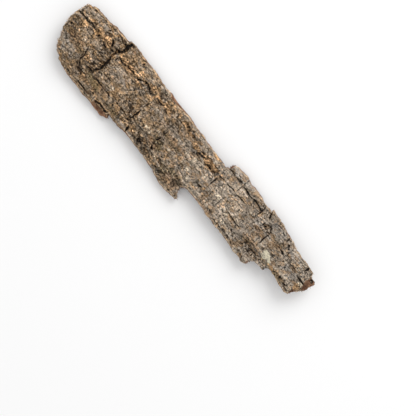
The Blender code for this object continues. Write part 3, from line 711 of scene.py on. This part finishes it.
block_tone, block_tint = tones(BLOCK, 0.0)
chip_tone, chip_tint = tones(CHIP, 5.0)
crumb_tone, crumb_tint = tones(CRUMB, 9.0)
[hole_tone] = tones(PINHOLE, 12.0, parts=[2])
holes = 1.0 - mosaic(PINHOLE, 12.0, "F1", "Distance").between(0.2, 0.34)
holes = holes * (hole_tone + 0.35 * reads("flaky") - 0.1 * reads("smooth")).between(0.68, 0.74)
gaps = 1.0 - mosaic(ROW, 3.0, "DISTANCE_TO_EDGE", 0, 0.45).between(0.03, 0.1)
gaps = gaps * patch.between(0.38, 0.5)
small_gaps = 1.0 - mosaic(SMALL_ROW, 6.0, "DISTANCE_TO_EDGE", 0, 0.8).between(0.03, 0.13)
gaps = gaps.at_least(0.75 * small_gaps * speck.between(0.46, 0.58))
gaps = gaps.at_least(holes) * (1.0 - 0.8 * reads("depth").between(0.3, 0.8))

# The colour of the cork: brown to grey in broad patches, lilac where it is smooth, and single
# blocks, chips and crumbs that are ochre, tan and cream
cork = (broad + 0.3 * narrow_half - 0.12).between(0.3, 0.7).mix(CORK_BROWN, CORK_GREY)
lilac = (0.4 + 0.3 * narrow_half) * reads("smooth") + 0.3 * narrow_half * patch
cork = (lilac + 0.3 * block_tint.between(0.4, 0.2)).mix(cork, CORK_LILAC)
cork = (0.5 * (block_tint - 0.08 * narrow_half).between(0.7, 0.78)).mix(cork, OCHRE_CORK)
cork = (0.4 * chip_tint.between(0.86, 0.9)).mix(cork, TAN_CORK)
cork = (0.5 * crumb_tint.between(0.95, 0.97)).mix(cork, CREAM)


def inside(name, ragged=0.5):
    """1 inside a mark and 0 outside, with a rim as ragged as the chips are."""
    rim = ragged * (chip_tone - 0.5) + 0.4 * patch - 0.2
    return (reads(name) + rim).between(-0.04, 0.12)


# Stains, tan flakes and pale specks lie on the cork, and its broken edge is lighter
stain = broad.between(0.42, 0.58).mix(MOSS_STAIN, RUST_STAIN)
cork = (0.6 * inside("stain")).mix(cork, stain)
tan = chip_tint.between(0.0, 0.7).mix(OCHRE_CORK, TAN_CORK)
cork = (0.9 * inside("tan")).mix(cork, tan)
pale = (reads("pale") + 0.9 * crumb_tone + 0.5 * chip_tone - 0.9).between(-0.04, 0.12)
cork = (0.65 * pale).mix(cork, CREAM)
cork = (0.5 * reads("depth").between(0.35, 0.8) * patch.between(0.3, 0.5)).mix(cork, RIM_CORK)

# Inner bark shows on the underside, low on the broken rim, and where the cork is gone
inner_bark = patch.between(0.35, 0.65).mix(INNER_RED, INNER_TAN)
deep = (reads("depth") + 0.8 * patch - 0.4).between(1.3, 1.9)
bared = deep.at_least(inside("bare", 0.2))
colour = bared.mix(cork, inner_bark)


def varied(tone, contrast):
    """A factor of 1 for a middling tone, and higher by this much for the highest than the lowest."""
    return 1.0 + contrast * (tone - 0.5)


# How light each place is: by its chip, crumb, block and line of grain, less so where the cork is
# smooth, and dark in the gaps. The inner bark goes by its fibres instead.
crumb_shade = (1.0 - crumb_tone) * (1.0 - crumb_tone)
crust = varied(chip_tone, 0.8) * (1.25 - 0.75 * crumb_shade) * varied(block_tone, 0.18)
crust = crust * varied(grain_line, 0.44)
crust = 1.0 + (crust - 1.0) * (1.0 - 0.4 * reads("smooth")) * (1.0 - 0.3 * narrow_half)
crust = crust * (1.2 - (0.95 - 0.2 * narrow_half) * gaps)
stringy = varied(fibre_line, 1.0) * varied(speck, 0.4)
crust = crust + bared * (stringy - crust)

# The contrast comes and goes in patches, between a darkest and a lightest tone. The narrow end is
# darker as a whole, raised scales and ridges get painted highlight, hollows get painted shade, and
# each laid flake differs.
DARKEST = 0.14
LIGHTEST = 1.6
contrast = 1.1 + 0.9 * texture(7.0, 3.0, 3.0, 2.0, 0.5, 14.0).between(0.42, 0.58)
crust = (1.0 + (crust - 1.0) * contrast).at_most(LIGHTEST).at_least(DARKEST)
crust = 1.2 * crust * (1.0 - 0.18 * along.between(42.0 * MM, 60.0 * MM))
# Painted highlight on raised scales, plates and ridges, and painted shade in the fine hollows
painted_relief_light = 0.1 * reads("scale") + 0.08 * reads("plate") - 1.2 * reads("pit_fine").at_least(-0.16)
flake = reads("flake")
crust = crust * (1.0 + painted_relief_light) * (1.0 + flake * (0.42 * reads("tone") - 0.2))
settings = {"data_type": "RGBA", "blend_type": "MULTIPLY"}
sockets = {0: 1.0, 6: colour, 7: tree.vector(crust, crust, crust)}
colour = tree.node("ShaderNodeMix", settings, sockets, 2)

# Painted shade darkens the hollows between the laid flakes, and dirt lies in the dark marks and in the
# pinholes
bare_ground = 1.0 - flake
shade_and_dirt = 0.7 * reads("pit_fine").between(0.1, 0.3) * bare_ground
dark = inside("dark") * (0.5 * block_tone + 0.5 * chip_tone).between(0.6, 0.48)
shade_and_dirt = shade_and_dirt.at_least(0.9 * dark).at_least(0.9 * holes * (0.35 + reads("flaky")))
colour = shade_and_dirt.mix(colour, hole_tone.between(0.45, 0.7).mix(SHADE_AND_DIRT_BROWN, SHADE_AND_DIRT_BLACK))

# Each crack is dirt and painted near-black shade inside, with some ochre crumbs in the widest, and
# painted brown shade at its rim. Chips of tan light up beside the wide ones on the broad half.
gape_here = reads("gape")
gaping = gape_here * (0.75 + 0.9 * patch) - abs(reads("offset"))
gaping = gaping + 0.45 * chip_tone + 0.12 * speck - 0.22
# Painted shade along each crack's rim
crack_rim_shade = gaping.between(-0.3, 0.0) * gape_here.between(0.0, 0.2) * bare_ground
colour = (0.35 * crack_rim_shade).mix(colour, SHADE_AND_DIRT_BROWN)
lit_chips = gaping.between(-0.5, -0.3) * chip_tint.between(0.5, 0.6) * gape_here.between(0.2, 0.4)
colour = (0.7 * lit_chips * (1.0 - narrow_half)).mix(colour, TAN_CORK)
crumbled = chip_tone.between(0.5, 0.65) * patch.between(0.42, 0.55) * gape_here.between(0.4, 0.5)
crack_floor = (crumbled * reads("flaky")).mix(SHADE_AND_DIRT_BLACK, OCHRE_CORK)
# Dirt and painted shade inside each crack
in_crack = gaping.between(-0.04, 0.08) * gape_here.between(0.0, 0.08) * bare_ground
colour = in_crack.mix(colour, crack_floor)

# The lichen is cream and grey in lobes, on the slab as on the lobes that are laid there
lobed = (0.5 * chip_tone + 0.5 * crumb_tone).between(0.2, 0.6)
colour = (0.95 * inside("lichen")).mix(colour, lobed.mix(LICHEN_GREY, LICHEN_CREAM))
colour.feeds(shader.inputs["Base Color"])
(0.82 + 0.14 * speck).feeds(shader.inputs["Roughness"])

# The finest relief, under a third of a millimetre, is bump alone
height = 0.5 * chip_tone + 0.3 * crumb_tone + 0.25 * grain_line - 0.6 * gaps
height = height + bared * (1.1 * fibre_line - height) + 0.25 * speck
bump = tree.node("ShaderNodeBump", {}, {"Height": height, "Strength": 0.9, "Distance": 0.3 * MM})
bump.feeds(shader.inputs["Normal"])

slab_mesh.materials.append(bark)
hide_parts("bark_piece")
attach(slab, "root")

# The scales of the crust: thin flat crumbs of cork, grown in layers, that still hold to the outer
# face and lift a little as it dries. Each is its own small block, laid on the slab along the grain.

# The ground for them and for all later pieces: the slab's mesh, with how thickly each kind covers
# it, and the way out of it
ground = slab_mesh.copy()
ground.name = "ground"
clear_of_cracks = 1.0 - eased(lip, -0.95, -0.6)
clear_of_lichen = 1.0 - eased(patch_share(points, LICHEN), -0.2, 0.1)
still_cork = 1.0 - eased(marked(LAID_BARE, 0.25), -0.2, 0.1)
plain = up * clear_of_cracks * clear_of_lichen * still_cork
scaly = 0.7 + 0.6 * hills(7.0, 3.5, 5.0, 21) + 0.3 * flaky - 0.6 * smooth
scaly -= 0.35 * eased(tipwards, 10.0, 35.0)
clear_of_edges = eased(np.abs(points[:, 1]), 17.5, 15.5) * eased(np.abs(points[:, 0]), 93.0, 88.0)
noted(ground, {
    "scaly": plain * np.clip(scaly, 0.05, 1.0),
    "loose": plain * eased(attributes["tan"] + 0.5 * flaky, 0.1, 0.7),
    "grainy": up * eased(marked(LICHEN, 0.6), -0.05, 0.15),
    "torn": side * eased(np.abs(normals[:, 0]), 0.2, 0.7),
    "stringy": down * clear_of_edges,
})
way_out = normals_of(settled(points, edges, rounds=6), faces)
column = ground.attributes.new("way_out", "FLOAT_VECTOR", "POINT")
column.data.foreach_set("vector", way_out.ravel())


def new_maker(name, sizes):
    """A geometry tree with these named sizes for its inputs, and each input as a value."""
    group = bpy.data.node_groups.new(name, "GeometryNodeTree")
    group.interface.new_socket("Ground", in_out="INPUT", socket_type="NodeSocketGeometry")
    for label, size in sizes.items():
        kind = "NodeSocketInt" if isinstance(size, int) else "NodeSocketFloat"
        group.interface.new_socket(label, in_out="INPUT", socket_type=kind)
    group.interface.new_socket("Piece", in_out="OUTPUT", socket_type="NodeSocketGeometry")
    given = group.nodes.new("NodeGroupInput")
    values = {socket.name: Value(group, socket) for socket in given.outputs if socket.name}
    return Value(group), values


def chance(maker, low, high, seed):
    """A random number for each point."""
    sockets = {2: low, 3: high, "Seed": seed}
    return maker.node("FunctionNodeRandomValue", {"data_type": "FLOAT"}, sockets, 1)


def named(maker, name, kind="FLOAT"):
    """What the ground has at each point, under this name."""
    settings = {"data_type": kind}
    return maker.node("GeometryNodeInputNamedAttribute", settings, {"Name": name}, "Attribute")


def here(maker):
    """Where each point is."""
    return maker.node("GeometryNodeInputPosition", {}, {})


def facing(maker, way):
    """The turn that stands a block up along this way."""
    return maker.node("FunctionNodeAlignRotationToVector", {"axis": "Z"}, {"Vector": way})


def scattered(maker, given, mesh, cover, most_per_square_metre=3e7):
    """Random spots where the cover says, no nearer to each other than the spacing."""
    sockets = {
        "Mesh": mesh, "Distance Min": given["Spacing"], "Density Max": most_per_square_metre,
        "Density Factor": named(maker, cover), "Seed": given["Seed"],
    }
    settings = {"distribute_method": "POISSON"}
    return maker.node("GeometryNodeDistributePointsOnFaces", settings, sockets, "Points")


def copies(maker, sockets, marks):
    """A copy of a block on each spot, made real, with these numbers for the material to read."""
    laid = maker.node("GeometryNodeInstanceOnPoints", {}, sockets, "Instances")
    settings = {"data_type": "FLOAT", "domain": "INSTANCE"}
    for name, value in marks.items():
        sockets = {"Geometry": laid, "Name": name, "Value": value}
        laid = maker.node("GeometryNodeStoreNamedAttribute", settings, sockets)
    return maker.node("GeometryNodeRealizeInstances", {}, {"Geometry": laid})


def shifted(maker, laid, waves_per_metre, detail, most):
    """Shifts the points at random, by up to about half of this much either way."""
    sockets = {"Vector": here(maker), "Scale": waves_per_metre, "Detail": detail}
    shift = maker.node("ShaderNodeTexNoise", {}, sockets, "Color")
    shift = maker.vector_math("SUBTRACT", shift, (0.5, 0.5, 0.5))
    shift = maker.vector_math("MULTIPLY", shift, most)
    return maker.node("GeometryNodeSetPosition", {}, {"Geometry": laid, "Offset": shift})


def roughened(maker, laid, amount):
    """Shifts every point of the laid copies a little, so that no two are alike."""
    most = maker.vector(amount, amount, amount)
    return shifted(maker, laid, waves_per_metre=1300.0, detail=1.0, most=most)


def made_plain(name, maker, given_sizes, result):
    """Ends a tree, runs it on the ground, and keeps what it makes as a plain mesh on the slab."""
    result = maker.node("GeometryNodeSetMaterial", {}, {"Geometry": result, "Material": bark})
    result.feeds(maker.tree.nodes.new("NodeGroupOutput").inputs[0])
    piece = placed(name, ground)
    modifier = piece.modifiers.new(name, "NODES")
    modifier.node_group = maker.tree
    for item in maker.tree.interface.items_tree:
        if item.name in given_sizes:
            modifier[item.identifier] = given_sizes[item.name]
    depsgraph = bpy.context.evaluated_depsgraph_get()
    made = piece.evaluated_get(depsgraph)
    mesh = bpy.data.meshes.new_from_object(made, preserve_all_data_layers=True, depsgraph=depsgraph)
    piece.modifiers.remove(modifier)
    piece.data = mesh
    mesh.name = name
    spots = np.zeros(3 * len(mesh.vertices), np.float32)
    mesh.vertices.foreach_get("co", spots)
    spots = np.clip(spots.reshape(-1, 3), box_low * MM, box_high * MM)
    mesh.vertices.foreach_set("co", spots.ravel())
    mesh.update()
    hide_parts("bark_piece")
    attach(piece, "root")


def lay_scales(name, cover, sizes):
    """Lays small blocks along the grain. Stretch is how much wider apart they lie that way."""
    maker, given = new_maker(name, sizes)
    seed = given["Seed"]
    stretch = given["Stretch"]
    squeeze = maker.vector(1.0 / stretch, 1.0, 1.0)
    squeezed = maker.node("GeometryNodeTransform", {}, {"Geometry": given["Ground"], "Scale": squeeze})
    spots = scattered(maker, given, squeezed, cover)
    where = maker.vector_math("MULTIPLY", here(maker), maker.vector(stretch, 1.0, 1.0))
    spots = maker.node("GeometryNodeSetPosition", {}, {"Geometry": spots, "Position": where})

    # The block has seven sides and is narrower at its top
    sockets = {"Vertices": 7, "Side Segments": 1, "Fill Segments": 1, "Radius": 0.5, "Depth": 1.0}
    block = maker.node("GeometryNodeMeshCylinder", {"fill_type": "NGON"}, sockets, "Mesh")
    height = maker.node("ShaderNodeSeparateXYZ", {}, {0: here(maker)}, 2)
    slope = 1.0 - 0.35 * (height + 0.5)
    where = maker.vector_math("MULTIPLY", here(maker), maker.vector(slope, slope, 1.0))
    block = maker.node("GeometryNodeSetPosition", {}, {"Geometry": block, "Position": where})

    # It lies flat with its length along the grain, a little askew and tilted
    flat = facing(maker, named(maker, "way_out", "FLOAT_VECTOR"))
    grain_way = maker.vector(1.0, chance(maker, -0.22, 0.22, seed + 1), 0.0)
    settings = {"axis": "X", "pivot_axis": "Z"}
    sockets = {"Rotation": flat, "Vector": grain_way}
    turn = maker.node("FunctionNodeAlignRotationToVector", settings, sockets)
    lean = chance(maker, -1.0, 1.0, seed + 2) * given["Tilt"]
    rear = chance(maker, -1.0, 1.0, seed + 3) * given["Tilt"] * 0.6
    askew = maker.vector(lean, rear, chance(maker, 0.0, 0.3, seed + 4))
    askew = maker.node("FunctionNodeEulerToRotation", {}, {0: askew})
    sockets = {"Rotation": turn, "Rotate By": askew}
    turn = maker.node("FunctionNodeRotateRotation", {"rotation_space": "LOCAL"}, sockets)
    grown = chance(maker, 0.6, 1.4, seed + 5)
    length = given["Length"] * grown * chance(maker, 0.6, 1.4, seed + 6)
    thickness = given["Thickness"] * chance(maker, 0.6, 1.5, seed + 7)
    size = maker.vector(length, given["Width"] * grown, thickness)
    sockets = {"Points": spots, "Instance": block, "Rotation": turn, "Scale": size}
    laid = copies(maker, sockets, {"flake": 1.0, "tone": chance(maker, 0.0, 1.0, seed + 8)})
    made_plain(name, maker, sizes, roughened(maker, laid, given["Raggedness"]))


lay_scales("crust_scales", "scaly", {
    "Length": 1.5 * MM, "Width": 0.95 * MM, "Thickness": 0.18 * MM, "Spacing": 0.6 * MM,
    "Stretch": 1.6, "Tilt": 0.1, "Raggedness": 0.7 * MM, "Seed": 11,
})
lay_scales("loose_flakes", "loose", {
    "Length": 2.6 * MM, "Width": 1.1 * MM, "Thickness": 0.24 * MM, "Spacing": 1.1 * MM,
    "Stretch": 1.8, "Tilt": 0.5, "Raggedness": 1.1 * MM, "Seed": 31,
})

# The torn fibres: splinters of bark that stand out where the slab snapped across its grain, at both
# ends and at each step of the outline. They grew there, so each holds at its root, a little sunk in.
sizes = {"Length": 1.1 * MM, "Width": 0.4 * MM, "Spacing": 0.7 * MM, "Seed": 51}
maker, given = new_maker("torn_fibres", sizes)
seed = given["Seed"]
roots = scattered(maker, given, given["Ground"], "torn")
sockets = {"Vertices": 4, "Side Segments": 2, "Fill Segments": 1}
sockets |= {"Radius Top": 0.12, "Radius Bottom": 0.5, "Depth": 1.0}
spike = maker.node("GeometryNodeMeshCone", {"fill_type": "NGON"}, sockets, "Mesh")
sockets = {"Geometry": spike, "Translation": (0.0, 0.0, -0.25)}
spike = maker.node("GeometryNodeTransform", {}, sockets)
way = maker.vector_math("MULTIPLY", named(maker, "way_out", "FLOAT_VECTOR"), (2.5, 0.5, 0.3))
loose_way = maker.vector(0.0, chance(maker, -0.5, 0.5, seed + 1), chance(maker, -0.3, 0.3, seed + 2))
turn = facing(maker, maker.vector_math("ADD", way, loose_way))
girth = given["Width"] * chance(maker, 0.5, 1.4, seed + 3)
reach = given["Length"] * chance(maker, 0.4, 1.3, seed + 4)
size = maker.vector(girth, girth, reach)
sockets = {"Points": roots, "Instance": spike, "Rotation": turn, "Scale": size}
laid = copies(maker, sockets, {"flake": 1.0, "tone": chance(maker, 0.2, 1.0, seed + 5)})
made_plain("torn_fibres", maker, sizes, roughened(maker, laid, 0.3 * MM))

# The bast strands: long strings of inner bark that run along the hollow underside. Each is a thin
# rope laid on that face, thinner at its ends, and they came off the wood with the bark around them.
STRAND_STEPS = 16
STRAND_SWAY = 6.0 * MM
sizes = {"Length": 26.0 * MM, "Width": 0.34 * MM, "Spacing": 2.6 * MM, "Seed": 71}
maker, given = new_maker("bast_strands", sizes)
seed = given["Seed"]
middles = scattered(maker, given, given["Ground"], "stringy")
step = (1.0 / (STRAND_STEPS - 1), 0.0, 0.0)
sockets = {"Count": STRAND_STEPS, "Start Location": (-0.5, 0.0, 0.0), "Offset": step}
line = maker.node("GeometryNodeMeshLine", {"mode": "OFFSET"}, sockets)
reach = given["Length"] * chance(maker, 0.5, 1.4, seed + 1)
sockets = {"Points": middles, "Instance": line, "Scale": maker.vector(reach, 1.0, 1.0)}
laid = copies(maker, sockets, {"flake": 1.0, "tone": chance(maker, 0.2, 1.0, seed + 2)})
laid = shifted(maker, laid, waves_per_metre=90.0, detail=2.0, most=(0.0, STRAND_SWAY, 0.0))

# They are lifted straight up to the underside, and cut off where it is no longer stringy
below = maker.vector_math("MULTIPLY", here(maker), (1.0, 1.0, 0.0))
sockets = {
    "Target Geometry": given["Ground"], "Attribute": named(maker, "stringy"),
    "Source Position": below, "Ray Direction": (0.0, 0.0, 1.0), "Ray Length": 20.0 * MM,
}
underside = maker.node("GeometryNodeRaycast", {"data_type": "FLOAT"}, sockets, "Hit Position")
sockets = {"Geometry": laid, "Selection": underside.beside("Attribute") < 0.3}
laid = maker.node("GeometryNodeDeleteGeometry", {"domain": "POINT"}, sockets)
laid = maker.node("GeometryNodeSetPosition", {}, {"Geometry": laid, "Position": underside})
laid = maker.node("GeometryNodeMeshToCurve", {}, {"Mesh": laid})
share = maker.node("GeometryNodeSplineParameter", {}, {}, "Factor")
swell = (share * (1.0 - share) * 4.0) ** 0.6
section = maker.node("GeometryNodeCurvePrimitiveCircle", {}, {"Resolution": 4, "Radius": 0.5})
sockets = {"Curve": laid, "Profile Curve": section, "Fill Caps": True}
sockets["Scale"] = swell * given["Width"]
laid = maker.node("GeometryNodeCurveToMesh", {}, sockets)
made_plain("bast_strands", maker, sizes, laid)

# The lichen: a thin grainy crust that grew on the outer face near the narrow end. It is a close
# heap of small soft lobes, each a flattened ball that stands half out of the bark.
sizes = {"Size": 0.62 * MM, "Spacing": 0.34 * MM, "Seed": 91}
maker, given = new_maker("lichen_lobes", sizes)
seed = given["Seed"]
spots = scattered(maker, given, given["Ground"], "grainy", most_per_square_metre=5e7)
lobe = maker.node("GeometryNodeMeshIcoSphere", {}, {"Radius": 0.5, "Subdivisions": 2}, "Mesh")
turn = facing(maker, named(maker, "way_out", "FLOAT_VECTOR"))
girth = given["Size"] * chance(maker, 0.5, 1.3, seed + 1)
length = girth * chance(maker, 0.8, 1.4, seed + 2)
size = maker.vector(length, girth, girth * chance(maker, 0.35, 0.7, seed + 3))
sockets = {"Points": spots, "Instance": lobe, "Rotation": turn, "Scale": size}
laid = copies(maker, sockets, {})
made_plain("lichen_lobes", maker, sizes, roughened(maker, laid, 0.2 * MM))

# The floor: a plain matt white sheet, wide enough to fill the view from low down
FAR = 3.0
floor_mesh = bpy.data.meshes.new("floor")
floor_corners = [(-FAR, -FAR, 0.0), (FAR, -FAR, 0.0), (FAR, FAR, 0.0), (-FAR, FAR, 0.0)]
floor_mesh.from_pydata(floor_corners, [], [(0, 1, 2, 3)])
floor = placed("floor", floor_mesh)
paper, shader = new_material("floor_paper")
shader.inputs["Base Color"].default_value = (0.88, 0.88, 0.88, 1.0)
shader.inputs["Roughness"].default_value = 0.9
shader.inputs["Specular IOR Level"].default_value = 0.1
floor_mesh.materials.append(paper)
floor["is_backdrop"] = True

# The light: a soft round lamp beyond the far edge, and even white light from all round
EVEN_LIGHT = 0.868
LAMP_WATTS = 6.5
LAMP_WIDTH = 0.9
LAMP_PLACE = Vector((-0.1, 0.85, 0.75))
world = bpy.data.worlds.new("studio")
world.use_nodes = True
all_round = world.node_tree.nodes["Background"].inputs
all_round["Color"].default_value = (1.0, 1.0, 1.0, 1.0)
all_round["Strength"].default_value = EVEN_LIGHT
bpy.context.scene.world = world
lamp_data = bpy.data.lights.new("soft_lamp", "AREA")
lamp_data.energy = LAMP_WATTS
lamp_data.shape = "DISK"
lamp_data.size = LAMP_WIDTH
lamp = placed("soft_lamp", lamp_data)
lamp.location = LAMP_PLACE
lamp.rotation_euler = (-LAMP_PLACE).to_track_quat("-Z", "Y").to_euler()

# The camera: straight above, turned so that the slab runs from the upper left to the lower right
VIEW_TURN = math.radians(49.5)
VIEW_CENTRE = (0.02952, -0.00785)
VIEW_LEVEL = 0.004
VIEW_WIDTH = 0.2299
LENS = 120.0
SENSOR = 36.0
camera_data = bpy.data.cameras.new("camera")
camera_data.lens = LENS
camera_data.sensor_width = SENSOR
camera = placed("camera", camera_data)
camera.location = (*VIEW_CENTRE, VIEW_LEVEL + VIEW_WIDTH * LENS / SENSOR)
camera.rotation_euler = (0.0, 0.0, VIEW_TURN)
bpy.context.scene.camera = camera
bpy.context.scene.view_settings.view_transform = "Standard"

# The sizes in metres, of the solid and of what this file makes of it
boxes = {"cad": cad_box, "visual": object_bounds()}
boxes = {name: [list(corner) for corner in box] for name, box in boxes.items()}
